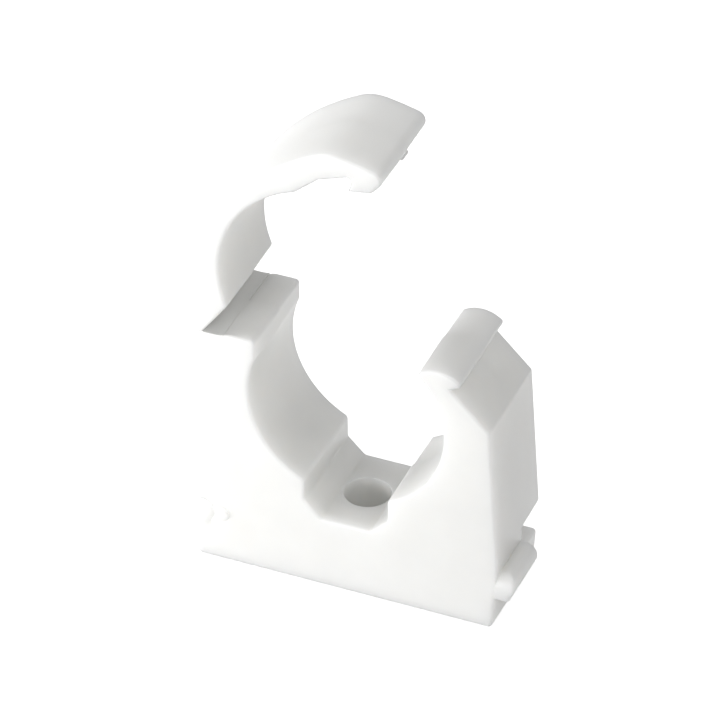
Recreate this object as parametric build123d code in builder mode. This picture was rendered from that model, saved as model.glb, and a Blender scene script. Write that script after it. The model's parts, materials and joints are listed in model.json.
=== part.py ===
from build123d import *
import os
from math import acos, asin, atan2, cos, degrees, hypot, radians, sin, sqrt, tan

# Hinged pipe clip, moulded in one piece with a living hinge, with its strap swung open as moulded.
# X runs across the clip, Y along the pipe and Z up. The origin is the screw hole's centre on the seat face.
# Sizes are in millimetres and degrees.

# Block and cradle
pipe_diameter = 22.0
pipe_height = 23.5
clip_depth = 12.5
base_width = 34.8
seat_inset = 0.6
arm_lean = 1.1
foot_radius = 0.4
shoulder_radius = 0.6
rim_radius = 0.25

# Catch head on the right arm
head_angle = 44.0
head_length = 5.05
head_corner_radius = 0.4
nose_radius = 0.55
nose_drop = 0.2
nose_blend_angle = 52.0
catch_depth = 1.05
catch_drop = 0.8
shoulder_slope = 45.0

# Lip on the left arm
lip_inset = 0.8
lip_width = 3.9
lip_rise = 6.7
lip_radius = 0.5
lip_step = 0.35
lip_crease_radius = 2.0

# Living hinge between lip and strap
film_thickness = 0.75
film_length = 1.3
film_root = 0.4
notch_drop = 1.15
notch_slope = 57.0

# Strap, drawn in its closed place and swung open about the hinge
open_angle = 54.0
strap_rise = 0.25
strap_gap = 1.5
strap_thickness = 2.1
strap_outer_radius = 27.9
strap_half_span = 14.3
strap_corner_radius = 0.8
strap_seat_gap = 0.25
heel_margin = 0.1
roof_angle = 54.0
roof_fall = 14.0
pocket_fall = 35.0
pocket_room = 0.5
pocket_gap = 0.2
catch_gap = 0.14
hook_length = 2.7
tip_drop = 0.35
tip_radius = 1.2
tip_slope = 65.0
flank_bulge = 0.2

# Gate mark, a short bead on the strap's tip where the plastic ran into the mould
gate_radius = 0.35
gate_length = 1.8
gate_offset = 0.6

# Screw slot and hole
slot_width = 9.4
slot_floor = 9.0
slot_chamfer = 1.9
screw_hole_diameter = 5.1

# Joining rail on the right side, and the groove for a neighbour's rail on the left
belt_height = 8.2
ledge_height = 4.8
belt_recess = 2.2
rail_height = 5.85
rail_radius = 1.4
rail_reach = 0.5
rail_foot_low = 3.95
rail_foot_reach = 1.4
rail_foot_radius = 0.3
rail_length = 6.9
rail_gap = 0.15

# Low round pip that an ejector pin leaves on the front face, beside the groove
pip_radius = 0.8
pip_rise = 0.4
pip_edge_radius = 0.3
pip_inset = 3.2
pip_height = 6.3

# Block and head, worked out
bore_radius = pipe_diameter / 2
half_width = base_width / 2
seat_right = half_width - seat_inset
shoulder_half = half_width - arm_lean
head_point = (
    bore_radius * cos(radians(head_angle)),
    pipe_height + bore_radius * sin(radians(head_angle)),
)
nose_x = head_point[0] + head_length
nose_center = (nose_x - nose_radius, head_point[1] - nose_drop)
catch_point = (nose_x - catch_depth, nose_center[1] - catch_drop)
shoulder_z = catch_point[1] - (shoulder_half - catch_point[0]) * tan(radians(shoulder_slope))

# The catch face is the line from the catch corner that touches the round nose from below
nose_run = hypot(catch_depth - nose_radius, catch_drop)
catch_slope = degrees(atan2(catch_drop, catch_depth - nose_radius) - asin(nose_radius / nose_run))
catch_length = sqrt(nose_run**2 - nose_radius**2)
catch_end = (
    catch_point[0] + catch_length * cos(radians(catch_slope)),
    catch_point[1] + catch_length * sin(radians(catch_slope)),
)

# Lip and hinge, worked out
lip_x = lip_inset - bore_radius
lip_angle = degrees(acos(lip_x / bore_radius))
crease_z = pipe_height + sqrt(bore_radius**2 - lip_x**2)
lip_out = lip_x - lip_width
lip_top = pipe_height + lip_rise
film_top = lip_top - lip_step
film_low = film_top - film_thickness
root_x = lip_out - film_root
hinge_x = root_x - film_length / 2
hinge_z = (film_top + film_low) / 2
notch_z = film_low - notch_drop
left_shoulder_z = notch_z - (shoulder_half + lip_out) * tan(radians(notch_slope))

# Strap outline in its closed place, worked out
strap_inner_radius = bore_radius + strap_gap
strap_center_z = pipe_height + strap_rise
strap_face_z = lip_top + strap_seat_gap
strap_face_rise = strap_face_z - hinge_z
heel_angle = 180 - degrees(asin((strap_face_z - strap_center_z) / strap_inner_radius))
outer_center_z = strap_center_z + strap_inner_radius + strap_thickness - strap_outer_radius
span_angle = degrees(acos(strap_half_span / strap_outer_radius))
span_z = outer_center_z + strap_outer_radius * sin(radians(span_angle))
roof_start = (
    strap_inner_radius * cos(radians(roof_angle)),
    strap_center_z + strap_inner_radius * sin(radians(roof_angle)),
)
nose_room = nose_radius + pocket_gap
pocket_point = (
    nose_center[0] + nose_room * sin(radians(pocket_fall)),
    nose_center[1] + nose_room * cos(radians(pocket_fall)),
)
roof_run = (
    pocket_point[1] - roof_start[1] + (pocket_point[0] - roof_start[0]) * tan(radians(pocket_fall))
) / (tan(radians(pocket_fall)) - tan(radians(roof_fall)))
roof_break = (roof_start[0] + roof_run, roof_start[1] - roof_run * tan(radians(roof_fall)))
pocket_x = nose_x + pocket_room
pocket_top = (pocket_x, pocket_point[1] - (pocket_x - pocket_point[0]) * tan(radians(pocket_fall)))

# The hook's edge lies in the catch corner, the same gap from the catch face and the shoulder
corner_half_angle = (catch_slope + shoulder_slope) / 2
corner_run = catch_gap / sin(radians(corner_half_angle))
hook_edge = (
    catch_point[0] + corner_run * cos(radians(catch_slope - corner_half_angle)),
    catch_point[1] + corner_run * sin(radians(catch_slope - corner_half_angle)),
)
pocket_low = (pocket_x, hook_edge[1] + (pocket_x - hook_edge[0]) * tan(radians(catch_slope)))
hook_low = (
    hook_edge[0] + hook_length * cos(radians(shoulder_slope)),
    hook_edge[1] - hook_length * sin(radians(shoulder_slope)),
)
tip_z = hook_low[1] - tip_drop
tip_x = strap_half_span + (span_z - tip_z) / tan(radians(tip_slope))

# The gate mark lies where the strap's lower edge runs into the round tip
tip_lean = degrees(atan2(tip_drop, tip_x - hook_low[0]))
gate_run = tip_radius / tan(radians((tip_slope - tip_lean) / 2))
gate_point = (tip_x - gate_run * cos(radians(tip_lean)), tip_z + gate_run * sin(radians(tip_lean)))


def strap_face_reach(height):
    """How far along the strap's end face, from the hinge, it crosses this height when open."""
    rise = height - hinge_z
    return (rise - strap_face_rise * cos(radians(open_angle))) / sin(radians(open_angle))


def strap_face_point(height):
    """Where the open strap's end face crosses this height."""
    along = strap_face_reach(height) * cos(radians(open_angle))
    return (hinge_x + along - strap_face_rise * sin(radians(open_angle)), height)


heel_x = hinge_x + strap_face_reach(film_low) - heel_margin


def corner(builder, point):
    """The outline's corner at this point."""
    return builder.vertices().sort_by_distance(point)[0]


def end_edges(builder):
    """The edges round the part's front and back faces."""
    ends = builder.faces().sort_by(Axis.Y)
    return ends[0].edges() + ends[-1].edges()


def rail_profile(wall_x, room):
    """Sketch the rail's bead and foot on a wall at this place, widened by this room."""
    foot_x = wall_x + rail_foot_reach + room
    foot_z = rail_foot_low - room
    with Locations((wall_x + rail_reach, rail_height)):
        Circle(rail_radius + room)
    with Locations((foot_x, foot_z)):
        Rectangle(2 * rail_foot_reach, rail_height - foot_z, align=(Align.MAX, Align.MIN))


# The strap's sketch plane is the front plane turned open about the hinge line
strap_plane = Plane(
    origin=(
        hinge_x - hinge_x * cos(radians(open_angle)) + hinge_z * sin(radians(open_angle)),
        0,
        hinge_z - hinge_x * sin(radians(open_angle)) - hinge_z * cos(radians(open_angle)),
    ),
    x_dir=(cos(radians(open_angle)), 0, sin(radians(open_angle))),
    z_dir=(0, -1, 0),
)

# Base: the block with the cradle, the catch head and the hinge-side lip
with BuildPart() as base:
    with BuildSketch(Plane.XZ) as outline:
        with BuildLine():
            seat = Line((-half_width, 0), (seat_right, 0))
            Polyline(
                seat @ 1,
                (half_width, belt_height),
                (shoulder_half, shoulder_z),
                catch_point,
                catch_end,
            )
            nose = CenterArc(
                nose_center, nose_radius, catch_slope - 90, nose_blend_angle - catch_slope + 90
            )
            crown = TangentArc(nose @ 1, head_point, tangent=nose % 1)
            cradle = CenterArc((0, pipe_height), bore_radius, head_angle, lip_angle - head_angle - 360)
            lip = Polyline(
                cradle @ 1,
                (lip_x, lip_top),
                (lip_out, lip_top),
                (lip_out, film_top),
                (root_x, film_top),
                (root_x, film_low),
            )
            notch = TangentArc(lip @ 1, (lip_out, notch_z), tangent=(1, 0))
            Polyline(
                notch @ 1,
                (-shoulder_half, left_shoulder_z),
                (-half_width, belt_height),
                seat @ 0,
            )
        make_face()
        for seat_end in (-half_width, seat_right):
            fillet(corner(outline, (seat_end, 0)), foot_radius)
        fillet(corner(outline, (shoulder_half, shoulder_z)), shoulder_radius)
        fillet(corner(outline, (-shoulder_half, left_shoulder_z)), shoulder_radius)
        fillet(corner(outline, head_point), head_corner_radius)
        fillet(corner(outline, (lip_x, lip_top)), lip_radius)
        fillet(corner(outline, (lip_x, crease_z)), lip_crease_radius)
    extrude(amount=clip_depth / 2, both=True)

    # Slot across the cradle's bed for the screw head, with sloped corners, and the screw hole
    with BuildSketch(Plane.XZ):
        with BuildLine():
            half_slot = Polyline(
                (0, pipe_height),
                (slot_width / 2, pipe_height),
                (slot_width / 2, slot_floor + slot_chamfer),
                (slot_width / 2 - slot_chamfer, slot_floor),
                (0, slot_floor),
            )
            mirror(half_slot, about=Plane.YZ)
        make_face()
    extrude(amount=clip_depth, both=True, mode=Mode.SUBTRACT)
    with Locations((0, 0, slot_floor)):
        Hole(radius=screw_hole_diameter / 2)

    # Recess along the right side, behind the rail and open at the back
    with BuildSketch(Plane.XZ.offset(clip_depth / 2 - rail_length)):
        with Locations((half_width - belt_recess, ledge_height)):
            Rectangle(
                2 * belt_recess, belt_height - ledge_height, align=(Align.MIN, Align.MIN)
            )
    extrude(amount=-clip_depth, mode=Mode.SUBTRACT)

    # Soft rims round the front and back faces
    fillet(end_edges(base), rim_radius)

    # Rail: a round bead with a flat foot, on the front half of the right side
    with BuildSketch(Plane.XZ.offset(clip_depth / 2)) as rail:
        rail_profile(half_width, 0)
        fillet(corner(rail, (half_width + rail_foot_reach, rail_foot_low)), rail_foot_radius)
    extrude(amount=-rail_length)

    # Groove that takes a neighbour's rail from the front
    with BuildSketch(Plane.XZ.offset(clip_depth / 2)):
        rail_profile(-half_width, rail_gap)
    extrude(amount=-(rail_length + rail_gap), mode=Mode.SUBTRACT)

    # Pip on the front face
    with BuildSketch(Plane.XZ.offset(clip_depth / 2)):
        with Locations((pip_inset - half_width, pip_height)):
            Circle(pip_radius)
    extrude(amount=pip_rise)
    fillet(faces().sort_by(Axis.Y)[0].edges(), pip_edge_radius)

# Living hinge: the film between the lip's root and the strap's end face, as deep as their flat walls
with BuildPart() as hinge:
    with BuildSketch(Plane.XZ):
        with BuildLine():
            Polyline(
                (root_x, film_low),
                (root_x, film_top),
                strap_face_point(film_top),
                strap_face_point(film_low),
                close=True,
            )
        make_face()
    extrude(amount=clip_depth / 2 - rim_radius, both=True)

# Strap: an arch with a sloped heel at the hinge, and a pocket and hook at its free end
with BuildPart() as strap:
    with BuildSketch(strap_plane) as arch:
        with BuildLine():
            inner = CenterArc(
                (0, strap_center_z), strap_inner_radius, heel_angle, roof_angle - heel_angle
            )
            tip = Polyline(
                inner @ 1,
                roof_break,
                pocket_top,
                pocket_low,
                hook_edge,
                hook_low,
                (tip_x, tip_z),
            )
            SagittaArc(tip @ 1, (strap_half_span, span_z), -flank_bulge)
            outer = CenterArc(
                (0, outer_center_z), strap_outer_radius, span_angle, 180 - 2 * span_angle
            )
            Polyline(outer @ 1, (heel_x, strap_face_z), inner @ 0)
        make_face()
        for side in (-1, 1):
            fillet(corner(arch, (side * strap_half_span, span_z)), strap_corner_radius)
        fillet(corner(arch, (tip_x, tip_z)), tip_radius)
    extrude(amount=clip_depth / 2, both=True)
    fillet(end_edges(strap), rim_radius)
    with BuildSketch(strap_plane.offset(-gate_offset - gate_length / 2)):
        with Locations(gate_point):
            Circle(gate_radius)
    extrude(amount=gate_length)

base.part.label = "clip_base"
hinge.part.label = "living_hinge"
strap.part.label = "closing_strap"

os.makedirs("parts", exist_ok=True)
export_step(base.part, "parts/clip_base.step")
export_step(hinge.part, "parts/living_hinge.step")
export_step(strap.part, "parts/closing_strap.step")
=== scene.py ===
# %% [markdown]
# # A hinged pipe clip
# The real clip is one moulding in white polypropylene: a block with a round cradle for the pipe, a
# strap that snaps shut over it, and a thin film between the two that works as the hinge. The packed
# CAD model fixes every size and the joint. This lesson builds finer meshes in the same places, with
# the rounded edges and mould marks of the real clip, and then gives them a finish, light and a camera.

# %% Load the CAD model
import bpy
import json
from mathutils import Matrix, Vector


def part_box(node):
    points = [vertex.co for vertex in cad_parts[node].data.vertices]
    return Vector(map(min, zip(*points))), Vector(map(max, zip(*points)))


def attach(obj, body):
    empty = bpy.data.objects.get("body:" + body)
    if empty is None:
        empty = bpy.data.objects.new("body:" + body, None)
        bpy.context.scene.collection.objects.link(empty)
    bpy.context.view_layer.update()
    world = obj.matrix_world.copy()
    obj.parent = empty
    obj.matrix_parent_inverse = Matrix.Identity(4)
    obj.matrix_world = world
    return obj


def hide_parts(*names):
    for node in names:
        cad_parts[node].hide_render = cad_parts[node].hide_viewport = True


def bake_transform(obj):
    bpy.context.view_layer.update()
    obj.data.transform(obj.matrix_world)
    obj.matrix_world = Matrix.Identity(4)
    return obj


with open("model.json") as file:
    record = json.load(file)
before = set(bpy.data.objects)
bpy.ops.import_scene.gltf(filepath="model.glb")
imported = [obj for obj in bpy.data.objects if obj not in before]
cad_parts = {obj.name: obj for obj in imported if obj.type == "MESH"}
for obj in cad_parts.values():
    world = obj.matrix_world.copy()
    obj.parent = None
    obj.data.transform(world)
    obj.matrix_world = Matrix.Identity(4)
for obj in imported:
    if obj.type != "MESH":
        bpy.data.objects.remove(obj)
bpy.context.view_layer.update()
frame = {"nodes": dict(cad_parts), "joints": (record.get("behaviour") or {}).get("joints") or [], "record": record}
print("CAD nodes:", sorted(frame["nodes"]))

# %% Python and Blender modules
import json
from math import acos, asin, atan2, ceil, cos, degrees, hypot, radians, sin, sqrt, tan

import bmesh
import bpy
from mathutils import Matrix, Quaternion, Vector

# %% [markdown]
# ## Sizes
# Blender works in metres, but the edges here are rounded by less than half a millimetre, and the bevel
# and boolean tools lose accuracy on numbers that small. So each piece is drawn in millimetres and is
# scaled once, when it is finished. What the frame knows is read from it, and the other sizes are the
# clip's own, each in the cell that first needs it.

# %% Sizes that the frame gives
MM = 0.001
joint = frame["joints"][0]
hinge_x = joint["pos_m"][0] / MM
hinge_z = joint["pos_m"][2] / MM
open_angle = joint["range_deg"][1]
mounts = {mount["name"]: mount for mount in frame["record"]["mounts"]}
bore_radius = mounts["pipe_seat"]["dims"]["r_mm"]
pipe_height = mounts["pipe_seat"]["pos_m"][2] / MM
screw_radius = mounts["screw_hole"]["dims"]["r_mm"]
slot_floor = mounts["screw_hole"]["dims"]["length_mm"]
base_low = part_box("clip_base")[0] / MM
strap_low, strap_high = (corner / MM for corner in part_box("closing_strap"))
front_y = strap_low.y
back_y = strap_high.y
half_width = -base_low.x
pip_rise = front_y - base_low.y
print(f"hinge at x {hinge_x:.2f}, z {hinge_z:.2f} mm; strap opens {open_angle:.0f} degrees")

# %% [markdown]
# ## Outlines drawn with a pen
# Seen from the front, every part of the clip is one flat outline that runs straight through the depth.
# Such an outline could be a curve object or a list of points. A bmesh is used as a pen instead: a
# straight run adds one vertex, and an arc is the last vertex spun about a centre, so the mesh keeps
# exactly the corners and arcs that a draughtsman would give.

# %% Pen for straight runs and arcs
arc_run = 0.7
arc_turn = 15.0


def start_outline(x, z):
    """A new outline in the front plane, with its first corner."""
    outline = bmesh.new()
    outline.verts.new((x, 0, z))
    return outline


def last_corner(outline):
    """The corner that was drawn last."""
    outline.verts.ensure_lookup_table()
    return outline.verts[-1]


def line_to(outline, *points):
    """Draw straight runs from the last corner through these points."""
    for x, z in points:
        start = last_corner(outline)
        outline.edges.new((start, outline.verts.new((x, 0, z))))


def arc_about(outline, center, sweep):
    """Spin the last corner about a centre, anticlockwise as seen from the front."""
    start = last_corner(outline)
    x, z = center
    length = radians(abs(sweep)) * hypot(start.co.x - x, start.co.z - z)
    steps = max(ceil(length / arc_run), ceil(abs(sweep) / arc_turn))
    bmesh.ops.spin(
        outline,
        geom=[start],
        cent=(x, 0, z),
        axis=(0, -1, 0),
        angle=radians(sweep),
        steps=steps,
        use_duplicate=False,
    )


def arc_to(outline, heading, point, share=1.0):
    """Draw a share of the arc that leaves the last corner with this heading and ends at a point."""
    start = last_corner(outline).co
    run, rise = point[0] - start.x, point[1] - start.z
    turn = (degrees(atan2(rise, run)) - heading + 180) % 360 - 180
    radius = hypot(run, rise) / (2 * sin(radians(turn)))
    center = (start.x - radius * sin(radians(heading)), start.z + radius * cos(radians(heading)))
    arc_about(outline, center, 2 * turn * share)


# %% Closing an outline and rounding its corners
corner_steps = 6


def close_outline(outline):
    """Join the last corner to the first and fill the outline with one face."""
    outline.verts.ensure_lookup_table()
    outline.edges.new((outline.verts[-1], outline.verts[0]))
    bmesh.ops.contextual_create(outline, geom=outline.edges[:])


def round_corners(outline, radius, *points):
    """Round the outline's corners at these points."""
    for x, z in points:
        target = Vector((x, 0, z))
        corner = min(outline.verts, key=lambda vert: (vert.co - target).length)
        legs = [edge.other_vert(corner).co - corner.co for edge in corner.link_edges]
        reach = radius / tan(legs[0].angle(legs[1]) / 2)
        bmesh.ops.bevel(
            outline,
            geom=[corner],
            offset=reach,
            offset_type="OFFSET",
            segments=corner_steps,
            profile=0.5,
            affect="VERTICES",
            clamp_overlap=False,
            material=-1,
        )


# %% [markdown]
# ## From an outline to half a moulding
# The real clip is cast in a tool of two halves, and where they meet a fine parting line runs round it,
# a little behind the middle. Each half leans in slightly towards its own face so that the part can
# slip out of the tool. One inset with a depth makes that leaning wall, and a bevel on the face's edges
# gives the soft rim. The back half is smaller by a hair, and that step is the parting line.

# %% Half a moulding
parting_y = 0.65
parting_step = 0.08
parting_overlap = 0.05
draft = 0.06
front_rim = 0.33
back_rim = 0.27
rim_steps = 5


def soften(bm, edges, radius):
    """Round these edges of a mesh."""
    bmesh.ops.bevel(
        bm,
        geom=edges,
        offset=radius,
        offset_type="OFFSET",
        segments=rim_steps,
        profile=0.5,
        affect="EDGES",
        clamp_overlap=False,
        material=-1,
    )


def inset(bm, face, thickness, depth):
    """Draw a face in by a thickness and out by a depth, and return the faces that link the two."""
    return bmesh.ops.inset_region(
        bm,
        faces=[face],
        thickness=thickness,
        depth=depth,
        use_boundary=True,
        use_even_offset=True,
    )["faces"]


def mould_half(outline, end_y):
    """Grow a filled outline from the parting plane to the face at end_y, and return that face."""
    face = outline.faces[:][0]
    face.normal_update()
    if face.normal.y * (end_y - parting_y) < 0:
        face.normal_flip()
    start_y = parting_y
    if end_y > parting_y:
        bmesh.ops.delete(outline, geom=inset(outline, face, parting_step, 0), context="FACES")
        start_y = parting_y - parting_overlap
    bmesh.ops.translate(outline, verts=outline.verts, vec=(0, start_y, 0))
    inset(outline, face, draft, abs(end_y - start_y))
    bmesh.ops.holes_fill(outline, edges=[edge for edge in outline.edges if edge.is_boundary])
    return face


# %% Objects, joins and cuts
weld_distance = 0.0005


def make_object(bm, name):
    """Put a finished bmesh into a new object."""
    bmesh.ops.recalc_face_normals(bm, faces=bm.faces)
    mesh = bpy.data.meshes.new(name)
    bm.to_mesh(mesh)
    bm.free()
    piece = bpy.data.objects.new(name, mesh)
    bpy.context.scene.collection.objects.link(piece)
    return piece


def combine(piece, tool, operation):
    """Join a tool to a piece, or cut it away, and remove the tool."""
    change = piece.modifiers.new("change", "BOOLEAN")
    change.operation = operation
    change.solver = "MANIFOLD"
    change.object = tool
    shaped = piece.evaluated_get(bpy.context.evaluated_depsgraph_get())
    mesh = bpy.data.meshes.new_from_object(shaped)
    piece.modifiers.clear()
    piece.data = mesh
    bpy.data.objects.remove(tool)


# %% [markdown]
# ## The block with the cradle
# The block carries the pipe in a round cradle. On its left arm a lip holds the hinge, on its right arm
# a catch head with a round nose holds the strap's hook, and a slot in the cradle's bed takes the screw
# head. All of that is one outline. Only the sides differ between the two halves of the tool, so the
# function that draws the outline is told how to draw each side.

# %% Sizes of the block and the catch head
seat_taper = 0.6
shoulder_taper = 1.1
seat_right = half_width - seat_taper
shoulder_half = half_width - shoulder_taper
belt_height = 8.2
head_angle = 44.0
head_length = 5.05
nose_radius = 0.55
nose_drop = 0.2
nose_blend_angle = 52.0
catch_depth = 1.05
catch_drop = 0.8
shoulder_slope = 45.0
pipe_center = (0, pipe_height)
head_point = (
    bore_radius * cos(radians(head_angle)),
    pipe_height + bore_radius * sin(radians(head_angle)),
)
nose_x = head_point[0] + head_length
nose_center = (nose_x - nose_radius, head_point[1] - nose_drop)
catch_point = (nose_x - catch_depth, nose_center[1] - catch_drop)
shoulder_z = catch_point[1] - (shoulder_half - catch_point[0]) * tan(radians(shoulder_slope))
print(f"nose reaches x {nose_x:.2f}, right shoulder at z {shoulder_z:.2f} mm")

# %% The catch face touches the round nose from below
nose_run = hypot(catch_depth - nose_radius, catch_drop)
catch_slope = degrees(atan2(catch_drop, catch_depth - nose_radius) - asin(nose_radius / nose_run))
catch_length = sqrt(nose_run**2 - nose_radius**2)
catch_end = (
    catch_point[0] + catch_length * cos(radians(catch_slope)),
    catch_point[1] + catch_length * sin(radians(catch_slope)),
)
print(f"catch face rises {catch_slope:.1f} degrees over {catch_length:.2f} mm")

# %% Sizes of the slot
slot_half = 4.7
slot_chamfer = 1.9
slot_angle = degrees(acos(slot_half / bore_radius))
slot_top = pipe_height - bore_radius * sin(radians(slot_angle))
print(f"slot from z {slot_floor:.2f} to {slot_top:.2f} mm")

# %% Sizes of the lip
lip_shift = 0.8
lip_width = 3.9
lip_rise = 6.7
lip_slope_run = 0.9
lip_slope_drop = 0.28
crease_radius = 2.0
lip_x = lip_shift - bore_radius
lip_out = lip_x - lip_width
lip_top = pipe_height + lip_rise
lip_slope_start = (lip_out + lip_slope_run, lip_top)
lip_slope_end = (lip_out, lip_top - lip_slope_drop)
crease_z = pipe_height + sqrt((bore_radius + crease_radius) ** 2 - (lip_x - crease_radius) ** 2)
crease_angle = degrees(atan2(crease_z - pipe_height, lip_x - crease_radius))
print(f"lip from x {lip_out:.2f} to {lip_x:.2f}, top at z {lip_top:.2f} mm")

# %% Sizes of the hinge film's root and the notch below it
film_drop = 0.35
film_thickness = 0.75
root_reach = 0.4
notch_drop = 1.15
left_shoulder_slope = 57.0
film_top = lip_top - film_drop
film_low = film_top - film_thickness
root_x = lip_out - root_reach
notch_z = film_low - notch_drop
notch_radius = ((lip_out - root_x) ** 2 + (film_low - notch_z) ** 2) / (2 * (film_low - notch_z))
notch_center = (root_x, film_low - notch_radius)
notch_angle = degrees(acos((lip_out - root_x) / notch_radius))
left_shoulder_z = notch_z - (shoulder_half + lip_out) * tan(radians(left_shoulder_slope))
print(f"film from z {film_low:.2f} to {film_top:.2f}, notch radius {notch_radius:.2f} mm")

# %% The block's outline
corner_radius = 0.6
head_radius = 0.52
slope_radius = 2.0
slot_mouth_radius = 0.66
slot_radius = 0.4


def block_outline(draw_right_side, draw_left_side):
    """The filled outline of one half of the block, with its corners rounded."""
    outline = start_outline(-half_width, 0)
    line_to(outline, (seat_right, 0))
    draw_right_side(outline)
    line_to(outline, (half_width, belt_height), (shoulder_half, shoulder_z), catch_point, catch_end)
    arc_about(outline, nose_center, 90 + nose_blend_angle - catch_slope)
    arc_to(outline, 90 + nose_blend_angle, head_point)
    arc_about(outline, pipe_center, -slot_angle - head_angle)
    slot_corner = (slot_half, slot_floor + slot_chamfer)
    slot_foot = (slot_half - slot_chamfer, slot_floor)
    line_to(outline, slot_corner, slot_foot, (-slot_foot[0], slot_floor))
    line_to(outline, (-slot_half, slot_corner[1]), (-slot_half, slot_top))
    arc_about(outline, pipe_center, crease_angle - 180 - slot_angle)
    arc_about(outline, (lip_x - crease_radius, crease_z), 180 - crease_angle)
    notch_rise = notch_radius * sin(radians(notch_angle))
    line_to(outline, (lip_x, lip_top), lip_slope_start, lip_slope_end)
    line_to(outline, (lip_out, notch_center[1] + notch_rise))
    arc_about(outline, notch_center, -2 * notch_angle)
    line_to(outline, (-shoulder_half, left_shoulder_z), (-half_width, belt_height))
    draw_left_side(outline)
    close_outline(outline)
    round_corners(outline, corner_radius, (-half_width, 0), (seat_right, 0))
    round_corners(outline, corner_radius, (shoulder_half, shoulder_z), (-shoulder_half, left_shoulder_z))
    round_corners(outline, head_radius, head_point)
    round_corners(outline, slope_radius, lip_slope_start)
    round_corners(outline, corner_radius, lip_slope_end, (lip_x, lip_top))
    round_corners(outline, slot_mouth_radius, (slot_half, slot_top), (-slot_half, slot_top))
    round_corners(outline, slot_radius, slot_corner, slot_foot)
    round_corners(outline, slot_radius, (-slot_half, slot_corner[1]), (-slot_foot[0], slot_floor))
    return outline


# %% [markdown]
# ## Groove and recess
# Clips are joined in a row: a rail on the right side of one slides into the groove on the left side of
# the next. The groove belongs to the front half of the tool, and the back half has a recess behind the
# rail. Both could be cut out later, but each is only a few more runs of the pen, so no cut is needed.

# %% Sizes of the rail
rail_height = 5.85
rail_radius = 1.4
rail_reach = 0.5
rail_foot_low = 3.95
rail_foot_reach = 1.4
rail_gap = 0.15
ledge_height = 4.8
belt_recess = 2.2


def wall_x(height):
    """The right side's place at a height below the belt."""
    return seat_right + (half_width - seat_right) * height / belt_height


# %% The left side of the front half
def draw_groove(outline):
    """The groove for a neighbour's rail, drawn downwards on the left side."""
    radius = rail_radius + rail_gap
    center = (rail_reach - half_width, rail_height)
    foot_x = rail_foot_reach + rail_gap - half_width
    foot_low = rail_foot_low - rail_gap
    foot_angle = degrees(acos((foot_x - center[0]) / radius))
    line_to(outline, (-half_width, rail_height + radius), (center[0], rail_height + radius))
    arc_about(outline, center, -90 - foot_angle)
    line_to(outline, (foot_x, foot_low), (-half_width, foot_low))


# %% The right side of the back half
def draw_recess(outline):
    """The recess behind the rail, drawn upwards on the right side."""
    recess_x = half_width - belt_recess
    line_to(outline, (wall_x(ledge_height), ledge_height), (recess_x, ledge_height))
    line_to(outline, (recess_x, belt_height))


def draw_plain_side(outline):
    """A side with nothing on it."""


# %% Build both halves and join them
front_half = block_outline(draw_plain_side, draw_groove)
soften(front_half, mould_half(front_half, front_y).edges[:], front_rim)

back_half = block_outline(draw_recess, draw_plain_side)
round_corners(back_half, corner_radius, (wall_x(ledge_height), ledge_height), (half_width, belt_height))
soften(back_half, mould_half(back_half, back_y).edges[:], back_rim)

block = make_object(front_half, "block")
combine(block, make_object(back_half, "back_half"), "UNION")
print("block:", len(block.data.polygons), "faces after joining the halves")

# %% [markdown]
# ## The rail
# The rail's front end is rounded off at the top, so that it finds its way into the next clip's groove.
# A wide bevel there would run into the soft rim of the end face. So the rail is drawn as a piece of its
# own, its end face is cut into strips, and these slide back along a curve before it joins the block.

# %% Draw the rail
rail_root = 0.8
rail_rim = 0.2
rail_sink = 0.03
rail_center = (half_width + rail_reach, rail_height)
rail_foot_x = half_width + rail_foot_reach
rail_foot_angle = degrees(acos((rail_foot_x - rail_center[0]) / rail_radius))
rail_foot_top = rail_height - rail_radius * sin(radians(rail_foot_angle))
rail_wall_angle = 180 - degrees(acos(rail_reach / rail_radius))
rail = start_outline(half_width - rail_root, rail_foot_low)
line_to(rail, (rail_foot_x, rail_foot_low), (rail_foot_x, rail_foot_top))
arc_about(rail, rail_center, rail_foot_angle + rail_wall_angle)
line_to(rail, (half_width - rail_root, last_corner(rail).co.z))
close_outline(rail)
round_corners(rail, corner_radius, (rail_foot_x, rail_foot_low))
soften(rail, mould_half(rail, front_y + 2 * rail_sink).edges[:], front_rim)
back_edges = [
    edge
    for edge in rail.edges
    if all(abs(vert.co.y - parting_y) < weld_distance for vert in edge.verts)
]
soften(rail, back_edges, rail_rim)
bmesh.ops.translate(rail, verts=rail.verts, vec=(0, -rail_sink, 0))
print("rail:", len(rail.faces), "faces, its front end still upright")

# %% Round its front end off and join it to the block
rail_end_low = 5.4
rail_end_curve = 2.0
rail_end_strips = 9
rail_end_rise = rail_height + rail_radius - rail_end_low
for strip in range(rail_end_strips):
    bmesh.ops.bisect_plane(
        rail,
        geom=rail.verts[:] + rail.edges[:] + rail.faces[:],
        dist=weld_distance,
        plane_co=(0, 0, rail_end_low + rail_end_rise * strip / rail_end_strips),
        plane_no=(0, 0, 1),
    )
for vert in rail.verts:
    rise = vert.co.z - rail_end_low
    if rise > 0 and vert.co.y < front_y + 2 * front_rim:
        vert.co.y += rail_end_curve - sqrt(rail_end_curve**2 - rise**2)
combine(block, make_object(rail, "rail"), "UNION")
print("block:", len(block.data.polygons), "faces after the rail")

# %% [markdown]
# ## The screw hole
# The hole's upper rim is slightly rounded and catches a thin bright line of light. A plain cylinder
# would cut a knife edge, so the cutter is a profile spun about the hole's axis that flares out at both
# ends, as a countersink does.

# %% Shapes turned about the upright axis
turn_steps = 72


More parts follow.
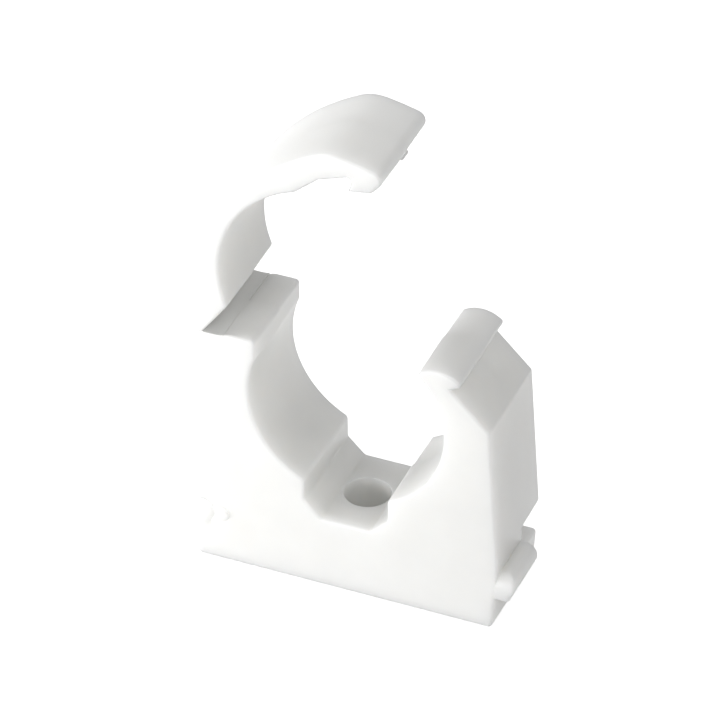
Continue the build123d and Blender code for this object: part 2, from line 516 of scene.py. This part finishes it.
def turned(points, rounded, radius):
    """Spin a profile of distance and height about the upright axis, with some of its corners rounded."""
    shape = bmesh.new()
    profile = [shape.verts.new((distance, 0, height)) for distance, height in points]
    for start, end in zip(profile, profile[1:]):
        shape.edges.new((start, end))
    bmesh.ops.bevel(
        shape,
        geom=[profile[index] for index in rounded],
        offset=radius,
        offset_type="OFFSET",
        segments=corner_steps,
        profile=0.5,
        affect="VERTICES",
        clamp_overlap=False,
        material=-1,
    )
    bmesh.ops.spin(
        shape,
        geom=shape.verts[:] + shape.edges[:],
        cent=(0, 0, 0),
        axis=(0, 0, 1),
        angle=radians(360),
        steps=turn_steps,
        use_merge=True,
        use_duplicate=False,
    )
    bmesh.ops.remove_doubles(shape, verts=shape.verts, dist=weld_distance)
    return shape


# %% Cut the screw hole
hole_rim = 0.2
cutter_reach = 1.0
rim_out = screw_radius + hole_rim
cutter_top = slot_floor + cutter_reach
cutter_points = (
    (0, -cutter_reach),
    (rim_out, -cutter_reach),
    (rim_out, 0),
    (screw_radius, 0),
    (screw_radius, slot_floor),
    (rim_out, slot_floor),
    (rim_out, cutter_top),
    (0, cutter_top),
)
combine(block, make_object(turned(cutter_points, (3, 4), hole_rim), "hole_cutter"), "DIFFERENCE")
print("block:", len(block.data.polygons), "faces after the screw hole")

# %% [markdown]
# ## The pip on the front face
# Low on the left of the front face a pin of the mould has left a round pip. It is turned like the hole's
# cutter, laid on its side and joined to the block, with its foot sunk in so that the two overlap.

# %% Add the pip
pip_radius = 0.8
pip_sink = 0.5
pip_edge = 0.3
pip_inward = 3.2
pip_height = 6.3
pip_place = (pip_inward - half_width, front_y, pip_height)
pip_points = ((0, -pip_sink), (pip_radius, -pip_sink), (pip_radius, pip_rise), (0, pip_rise))
pip = turned(pip_points, [2], pip_edge)
bmesh.ops.rotate(pip, verts=pip.verts, matrix=Matrix.Rotation(radians(90), 3, "X"))
bmesh.ops.translate(pip, verts=pip.verts, vec=pip_place)
combine(block, make_object(pip, "pip"), "UNION")
print("block:", len(block.data.polygons), "faces after the pip")

# %% [markdown]
# ## The strap
# The strap is an arch that closes over the pipe. At its free end a pocket takes the catch's nose and a
# hook grips under it. It is drawn closed, where its shape follows the pipe and the catch, and is then
# turned about the hinge line to the open place in which the clip is moulded.

# %% Sizes of the strap, closed
strap_room = 1.5
strap_lift = 0.25
strap_gap = 0.25
strap_outer_radius = 27.9
strap_half_span = 14.3
strap_thickness = 2.1
strap_inner_radius = bore_radius + strap_room
strap_center = (0, pipe_height + strap_lift)
outer_center = (0, strap_center[1] + strap_inner_radius + strap_thickness - strap_outer_radius)
span_angle = degrees(acos(strap_half_span / strap_outer_radius))
span_z = outer_center[1] + strap_outer_radius * sin(radians(span_angle))
strap_face_z = lip_top + strap_gap
strap_face_rise = strap_face_z - hinge_z
heel_angle = 180 - degrees(asin((strap_face_z - strap_center[1]) / strap_inner_radius))
heel_inner = (strap_inner_radius * cos(radians(heel_angle)), strap_face_z)
print(f"strap's outer arc ends at z {span_z:.2f}, its end face lies at z {strap_face_z:.2f} mm when closed")

# %% Roof, pocket and hook, worked out from the catch head
roof_angle = 54.0
roof_fall = 14.0
pocket_fall = 35.0
pocket_gap = 0.2
pocket_room = 0.5
catch_gap = 0.14
hook_length = 2.7
pocket_x = nose_x + pocket_room
nose_room = nose_radius + pocket_gap
roof_start = (
    strap_inner_radius * cos(radians(roof_angle)),
    strap_center[1] + strap_inner_radius * sin(radians(roof_angle)),
)
pocket_point = (
    nose_center[0] + nose_room * sin(radians(pocket_fall)),
    nose_center[1] + nose_room * cos(radians(pocket_fall)),
)
pocket_lean = tan(radians(pocket_fall))
roof_lean = tan(radians(roof_fall))
roof_drop = roof_start[1] - pocket_point[1] - (pocket_point[0] - roof_start[0]) * pocket_lean
roof_run = -roof_drop / (pocket_lean - roof_lean)
roof_break = (roof_start[0] + roof_run, roof_start[1] - roof_run * roof_lean)
pocket_top = (pocket_x, pocket_point[1] - (pocket_x - pocket_point[0]) * pocket_lean)
corner_half_angle = (catch_slope + shoulder_slope) / 2
corner_run = catch_gap / sin(radians(corner_half_angle))
hook_edge = (
    catch_point[0] + corner_run * cos(radians(catch_slope - corner_half_angle)),
    catch_point[1] + corner_run * sin(radians(catch_slope - corner_half_angle)),
)
pocket_low = (pocket_x, hook_edge[1] + (pocket_x - hook_edge[0]) * tan(radians(catch_slope)))
hook_low = (
    hook_edge[0] + hook_length * cos(radians(shoulder_slope)),
    hook_edge[1] - hook_length * sin(radians(shoulder_slope)),
)
print(f"hook grips at x {hook_edge[0]:.2f}, z {hook_edge[1]:.2f} mm when closed")

# %% The round tip and the slightly bulged flank beside it
tip_drop = 0.35
tip_slope = 65.0
tip_radius = 1.2
flank_turn = 4.7
tip_z = hook_low[1] - tip_drop
tip_x = strap_half_span + (span_z - tip_z) / tan(radians(tip_slope))
tip_lean = degrees(atan2(tip_drop, tip_x - hook_low[0]))
tip_run = tip_radius / tan(radians((tip_slope - tip_lean) / 2))
tip_start = (tip_x - tip_run * cos(radians(tip_lean)), tip_z + tip_run * sin(radians(tip_lean)))
tip_center = (
    tip_start[0] + tip_radius * sin(radians(tip_lean)),
    tip_start[1] + tip_radius * cos(radians(tip_lean)),
)
flank_heading = 180 - tip_slope - flank_turn
tip_end = (
    tip_center[0] + tip_radius * sin(radians(flank_heading)),
    tip_center[1] - tip_radius * cos(radians(flank_heading)),
)
print(f"tip reaches from x {tip_start[0]:.2f} to {tip_end[0]:.2f} mm when closed")

# %% The flank turns softly into the strap's outer arc
bend_run = 1.5
flank_length = hypot(strap_half_span - tip_end[0], span_z - tip_end[1])
flank_share = 1 - bend_run / flank_length
bend_heading = flank_heading + 2 * flank_turn * flank_share
bend_turn = degrees(bend_run / strap_outer_radius)
bend_end = (
    outer_center[0] + strap_outer_radius * cos(radians(span_angle + bend_turn)),
    outer_center[1] + strap_outer_radius * sin(radians(span_angle + bend_turn)),
)
print(f"flank {flank_length:.2f} mm long, with a bend over its last {bend_run} mm")


# %% Where the open strap's end face meets the hinge film
def strap_face_reach(height):
    """How far along the strap's end face, from the hinge, it crosses this height when open."""
    rise = height - hinge_z
    return (rise - strap_face_rise * cos(radians(open_angle))) / sin(radians(open_angle))


def strap_face_point(height):
    """Where the open strap's end face crosses this height."""
    along = strap_face_reach(height) * cos(radians(open_angle))
    return (hinge_x + along - strap_face_rise * sin(radians(open_angle)), height)


heel_overlap = 0.1
heel_x = hinge_x + strap_face_reach(film_low) - heel_overlap
print(f"strap heel at x {heel_x:.2f} mm when closed")


# %% The strap's outline
heel_radius = 0.8


def swing_open(shape):
    """Turn a shape of the closed strap to its open place."""
    bmesh.ops.rotate(
        shape,
        verts=shape.verts,
        cent=(hinge_x, 0, hinge_z),
        matrix=Matrix.Rotation(-radians(open_angle), 3, "Y"),
    )


def strap_outline():
    """The filled outline of the strap, rounded at its corners and turned open."""
    outline = start_outline(*tip_start)
    arc_about(outline, tip_center, flank_heading + tip_lean)
    arc_to(outline, flank_heading, (strap_half_span, span_z), flank_share)
    arc_to(outline, bend_heading, bend_end)
    arc_about(outline, outer_center, 180 - 2 * span_angle - bend_turn)
    line_to(outline, (heel_x, strap_face_z), heel_inner)
    arc_about(outline, strap_center, roof_angle - heel_angle)
    line_to(outline, roof_break, pocket_top, pocket_low, hook_edge, hook_low)
    close_outline(outline)
    round_corners(outline, heel_radius, (-strap_half_span, span_z), (heel_x, strap_face_z))
    round_corners(outline, corner_radius, heel_inner, hook_low)
    swing_open(outline)
    return outline


# %% Build the strap's halves and join them
strap_front = strap_outline()
soften(strap_front, mould_half(strap_front, front_y).edges[:], front_rim)
strap_back = strap_outline()
soften(strap_back, mould_half(strap_back, back_y).edges[:], back_rim)
strap = make_object(strap_front, "strap")
combine(strap, make_object(strap_back, "strap_back"), "UNION")
print("strap:", len(strap.data.polygons), "faces")

# %% [markdown]
# ## The gate mark
# Plastic runs into the mould through a small gate, and where it is broken off a short bead stays on the
# strap's tip. It is a turned pin laid along the tip, half sunk into it.

# %% Add the gate mark
gate_radius = 0.25
gate_length = 1.6
gate_middle = 0.5
gate_end = 0.2
gate_place = (tip_start[0], gate_middle + gate_length / 2, tip_start[1])
gate_points = ((0, 0), (gate_radius, 0), (gate_radius, gate_length), (0, gate_length))
gate = turned(gate_points, (1, 2), gate_end)
bmesh.ops.rotate(gate, verts=gate.verts, matrix=Matrix.Rotation(radians(90), 3, "X"))
bmesh.ops.translate(gate, verts=gate.verts, vec=gate_place)
swing_open(gate)
combine(strap, make_object(gate, "gate"), "UNION")
print("strap:", len(strap.data.polygons), "faces after the gate mark")

# %% [markdown]
# ## The hinge film
# Between lip and strap the plastic thins to a film that bends when the strap closes, and a hollow web
# leads from the lip's top down to it. It could be part of either piece, but a rigid film would tear away
# from the other one. It is a piece of its own with rows of vertices along its length, sunk a little into
# both neighbours.

# %% Draw the film
film_sink = 0.3
film_cuts = 9
film_inset = 0.06
film_rim = 0.15
film_web_drop = 0.21
web_start = (lip_out + film_sink, lip_top - film_web_drop)
web_heading = 180 + 2 * degrees(atan2(web_start[1] - film_top, web_start[0] - root_x))
into_strap = Vector((-sin(radians(open_angle)), cos(radians(open_angle)))) * film_sink
strap_end_top = Vector(strap_face_point(film_top))
strap_end_low = Vector(strap_face_point(film_low))
film = start_outline(*web_start)
arc_to(film, web_heading, (root_x, film_top))
for step in range(1, film_cuts + 1):
    line_to(film, Vector((root_x, film_top)).lerp(strap_end_top, step / film_cuts))
line_to(film, strap_end_top + into_strap, strap_end_low + into_strap)
for step in range(film_cuts, -1, -1):
    line_to(film, Vector((root_x, film_low)).lerp(strap_end_low, step / film_cuts))
arc_about(film, notch_center, notch_angle - 90)
line_to(film, (web_start[0], last_corner(film).co.z))
close_outline(film)
print("film: an outline of", len(film.verts), "corners")

# %% Give the film its depth
film_face = film.faces[:][0]
bmesh.ops.translate(film, verts=film.verts, vec=(0, front_y + film_inset, 0))
walls = bmesh.ops.extrude_face_region(film, geom=[film_face], use_keep_orig=True)
far_verts = [item for item in walls["geom"] if isinstance(item, bmesh.types.BMVert)]
bmesh.ops.translate(film, verts=far_verts, vec=(0, back_y - front_y - 2 * film_inset, 0))
far_face = next(item for item in walls["geom"] if isinstance(item, bmesh.types.BMFace))
soften(film, film_face.edges[:] + far_face.edges[:], film_rim)
hinge_film = make_object(film, "hinge_film")
print("film:", len(hinge_film.data.polygons), "faces")

# %% [markdown]
# ## Clean meshes in metres
# A join leaves a few vertices on top of each other, so they are merged. The faces are then shaded
# smooth, edges that are still sharp are marked, and a weighted normal modifier lets the large flat
# faces win over the narrow rounded rims, so that flat plastic also looks flat.

# %% Finish the three pieces
sharp_angle = 40.0


def finish_piece(piece):
    """Merge doubled vertices, set the shading and scale the piece from millimetres to metres."""
    bm = bmesh.new()
    bm.from_mesh(piece.data)
    bmesh.ops.remove_doubles(bm, verts=bm.verts, dist=weld_distance)
    bmesh.ops.recalc_face_normals(bm, faces=bm.faces)
    for face in bm.faces:
        face.smooth = True
    for edge in bm.edges:
        edge.smooth = edge.calc_face_angle(0) < radians(sharp_angle)
    open_edges = sum(not edge.is_manifold for edge in bm.edges)
    bmesh.ops.scale(bm, verts=bm.verts, vec=(MM, MM, MM))
    bm.to_mesh(piece.data)
    bm.free()
    normals = piece.modifiers.new("flat_faces", "WEIGHTED_NORMAL")
    normals.keep_sharp = True
    print(f"{piece.name}: {len(piece.data.polygons)} faces, {open_edges} open edges")


for piece in (block, strap, hinge_film):
    finish_piece(piece)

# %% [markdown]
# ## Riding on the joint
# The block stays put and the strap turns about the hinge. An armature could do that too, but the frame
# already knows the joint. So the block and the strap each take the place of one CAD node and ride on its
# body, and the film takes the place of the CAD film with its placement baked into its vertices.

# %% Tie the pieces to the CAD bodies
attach(block, "base")
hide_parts("clip_base")
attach(strap, "strap")
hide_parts("closing_strap")
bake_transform(hinge_film)
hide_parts("living_hinge")

# %% [markdown]
# ## Moulded polypropylene
# Natural white polypropylene is milky: light enters it, scatters for a few millimetres and leaves
# again, so thin parts glow and shadows stay soft. The tool leaves a satin gloss with a faint grain,
# and shrinkage leaves slow waves that bend the highlights. Subsurface scattering gives the milkiness,
# two noises give the waves and the grain, and one more clouds the colour and the gloss.

# %% Colours and nodes
def linear(hex_color):
    """An sRGB hex colour as linear red, green, blue and alpha."""
    channels = (int(hex_color[i:i + 2], 16) / 255 for i in (1, 3, 5))
    return [c / 12.92 if c <= 0.04045 else ((c + 0.055) / 1.055) ** 2.4 for c in channels] + [1.0]


def add_node(tree, kind, inputs=None, **settings):
    """Add a node, set its properties, and give its inputs values or links from other nodes."""
    node = tree.nodes.new(kind)
    for name, value in settings.items():
        setattr(node, name, value)
    for name, value in (inputs or {}).items():
        if isinstance(value, bpy.types.NodeSocket):
            tree.links.new(value, node.inputs[name])
        else:
            node.inputs[name].default_value = value
    return node


# %% Three noises through the plastic
# A satin, milky white: soft highlights, no hard shadows, faintly warm where it is thick. The sizes are in
# millimetres. The real grain is finer and wouldn't show, so it is drawn coarser here.
cloud_size = 6.0
wave_size = 4.0
grain_size = 0.35
polypropylene = bpy.data.materials.new("moulded_polypropylene")
polypropylene.use_nodes = True
tree = polypropylene.node_tree
tree.nodes.clear()
place = add_node(tree, "ShaderNodeTexCoord").outputs["Object"]
clouds = add_node(
    tree, "ShaderNodeTexNoise", {"Vector": place, "Scale": 1 / (cloud_size * MM), "Detail": 3.0}
)
waves = add_node(
    tree, "ShaderNodeTexNoise", {"Vector": place, "Scale": 1 / (wave_size * MM), "Detail": 1.0}
)
grain = add_node(
    tree, "ShaderNodeTexNoise", {"Vector": place, "Scale": 1 / (grain_size * MM), "Detail": 2.0}
)
print(f"clouds of {cloud_size} mm, waves of {wave_size} mm and grain of {grain_size} mm")

# %% Colour and gloss
# A mix node has sockets of the same name for numbers, vectors and colours, so these go by number.
first_colour = 6
second_colour = 7
mixed_colour = 2
cloud_range = (0.3, 0.7)
roughness_range = (0.3, 0.42)
colour = add_node(
    tree,
    "ShaderNodeMix",
    {
        "Factor": clouds.outputs["Fac"],
        first_colour: linear("#E4E4E2"),
        second_colour: linear("#ECECEA"),
    },
    data_type="RGBA",
)
gloss = add_node(
    tree,
    "ShaderNodeMapRange",
    {
        "Value": clouds.outputs["Fac"],
        "From Min": cloud_range[0],
        "From Max": cloud_range[1],
        "To Min": roughness_range[0],
        "To Max": roughness_range[1],
    },
)
print("roughness:", roughness_range)

# %% Waves and grain in the surface
wave_height = 0.1
wave_strength = 0.2
grain_height = 0.02
grain_strength = 0.15
wave_bump = add_node(
    tree,
    "ShaderNodeBump",
    {"Height": waves.outputs["Fac"], "Strength": wave_strength, "Distance": wave_height * MM},
)
grain_bump = add_node(
    tree,
    "ShaderNodeBump",
    {
        "Height": grain.outputs["Fac"],
        "Normal": wave_bump.outputs["Normal"],
        "Strength": grain_strength,
        "Distance": grain_height * MM,
    },
)
print(f"waves {wave_height} mm high, grain {grain_height} mm high")

# %% Less scattering at the hinge
# Block, film and strap overlap there. Light that scatters into the hidden overlap is lost and would leave
# a dark line, so the scattering fades out near the hinge line.
solid_reach = 1.6
milky_reach = 3.6
across_and_up = (1, 0, 1)
side_place = add_node(tree, "ShaderNodeVectorMath", {0: place, 1: across_and_up}, operation="MULTIPLY")
hinge_distance = add_node(
    tree,
    "ShaderNodeVectorMath",
    {0: side_place.outputs["Vector"], 1: (hinge_x * MM, 0, hinge_z * MM)},
    operation="DISTANCE",
)
milkiness = add_node(
    tree,
    "ShaderNodeMapRange",
    {
        "Value": hinge_distance.outputs["Value"],
        "From Min": solid_reach * MM,
        "From Max": milky_reach * MM,
        "To Min": 0.0,
        "To Max": 1.0,
    },
    interpolation_type="SMOOTHSTEP",
)
print(f"scattering is full from {milky_reach} mm off the hinge line")

# %% Put the finish together
polypropylene_ior = 1.49
scatter_length = 4.0
scatter_shares = (1.0, 0.97, 0.94)
shader = add_node(
    tree,
    "ShaderNodeBsdfPrincipled",
    {
        "Base Color": colour.outputs[mixed_colour],
        "Roughness": gloss.outputs["Result"],
        "Normal": grain_bump.outputs["Normal"],
        "IOR": polypropylene_ior,
        "Subsurface Weight": milkiness.outputs["Result"],
        "Subsurface Radius": scatter_shares,
        "Subsurface Scale": scatter_length * MM,
    },
)
add_node(tree, "ShaderNodeOutputMaterial", {"Surface": shader.outputs["BSDF"]})
for piece in (block, strap, hinge_film):
    piece.data.materials.clear()
    piece.data.materials.append(polypropylene)
print("finish:", polypropylene.name, "with", len(tree.nodes), "nodes")

# %% [markdown]
# ## Floor and light
# The photograph is a product shot on white. A low strip of light near the front left makes the front
# faces almost blown out, a softer one on the left lights the strap's back, and a weak one on the right
# fills the faces that look away from the key, which stay grey. The floor is a pale table that glows, as
# a light table does, so shadows stay faint. It throws no light up onto the clip, which would lose its
# shading.

# %% The floor
floor_size = 4.0
table_roughness = 0.9
table_glow = 0.55
floor_mesh = bmesh.new()
bmesh.ops.create_grid(floor_mesh, x_segments=1, y_segments=1, size=floor_size / 2)
floor = make_object(floor_mesh, "floor")
white_table = bpy.data.materials.new("matte_white_table")
white_table.use_nodes = True
table_shader = white_table.node_tree.nodes["Principled BSDF"]
table_shader.inputs["Base Color"].default_value = linear("#F4F4F4")
table_shader.inputs["Roughness"].default_value = table_roughness
table_shader.inputs["Emission Color"].default_value = linear("#FFFFFF")
table_shader.inputs["Emission Strength"].default_value = table_glow
floor.data.materials.append(white_table)
floor.visible_diffuse = False
print(f"floor: {floor_size} m wide, {white_table.name}")

# %% The lights
clip_middle = Vector((-0.855, 0, 26.255)) * MM


def toward(azimuth, elevation):
    """The direction from the clip to a place at this azimuth, right of the front, and elevation."""
    return Vector(
        (
            sin(radians(azimuth)) * cos(radians(elevation)),
            -cos(radians(azimuth)) * cos(radians(elevation)),
            sin(radians(elevation)),
        )
    )


def add_softbox(name, azimuth, elevation, distance, width, height, power):
    """A soft rectangular light that looks at the clip."""
    data = bpy.data.lights.new(name, "AREA")
    data.shape = "RECTANGLE"
    data.size = width
    data.size_y = height
    data.energy = power
    light = bpy.data.objects.new(name, data)
    light.location = clip_middle + distance * toward(azimuth, elevation)
    light.rotation_euler = toward(azimuth, elevation).to_track_quat("Z", "Y").to_euler()
    bpy.context.scene.collection.objects.link(light)


add_softbox("key", azimuth=-28, elevation=3, distance=0.16, width=0.1, height=0.05, power=0.205)
add_softbox("side", azimuth=-92, elevation=35, distance=0.6, width=0.3, height=0.3, power=1.9)
add_softbox("fill", azimuth=60, elevation=50, distance=0.6, width=0.4, height=0.4, power=0.85)
print("lights:", sorted(light.name for light in bpy.data.lights))

# %% Light from the room
room_light = 0.4
world = bpy.data.worlds.new("studio")
world.use_nodes = True
world.node_tree.nodes["Background"].inputs["Color"].default_value = linear("#FFFFFF")
world.node_tree.nodes["Background"].inputs["Strength"].default_value = room_light
bpy.context.scene.world = world
bpy.context.scene.view_settings.view_transform = "Standard"
print("room light:", room_light)

# %% [markdown]
# ## Camera
# The photograph looks down on the clip from the right of its front, through a long lens that keeps
# parallel edges almost parallel. The angles and the distance were fitted to corners of the clip that
# can be seen in the photograph.

# %% The camera
sensor_width = 36.0
lens_length = 274.3
near_clip = 0.01
camera_roll = -0.25
camera_distance = 576.19
camera_data = bpy.data.cameras.new("camera")
camera_data.sensor_width = sensor_width
camera_data.lens = lens_length
camera_data.clip_start = near_clip
camera = bpy.data.objects.new("camera", camera_data)
look = toward(azimuth=22.88, elevation=36.51)
roll = Quaternion((0, 0, 1), radians(camera_roll))
camera.location = clip_middle + camera_distance * MM * look
camera.rotation_euler = (look.to_track_quat("Z", "Y") @ roll).to_euler()
bpy.context.scene.collection.objects.link(camera)
bpy.context.scene.camera = camera
print(f"camera: {lens_length} mm lens, {camera_distance} mm from the clip")
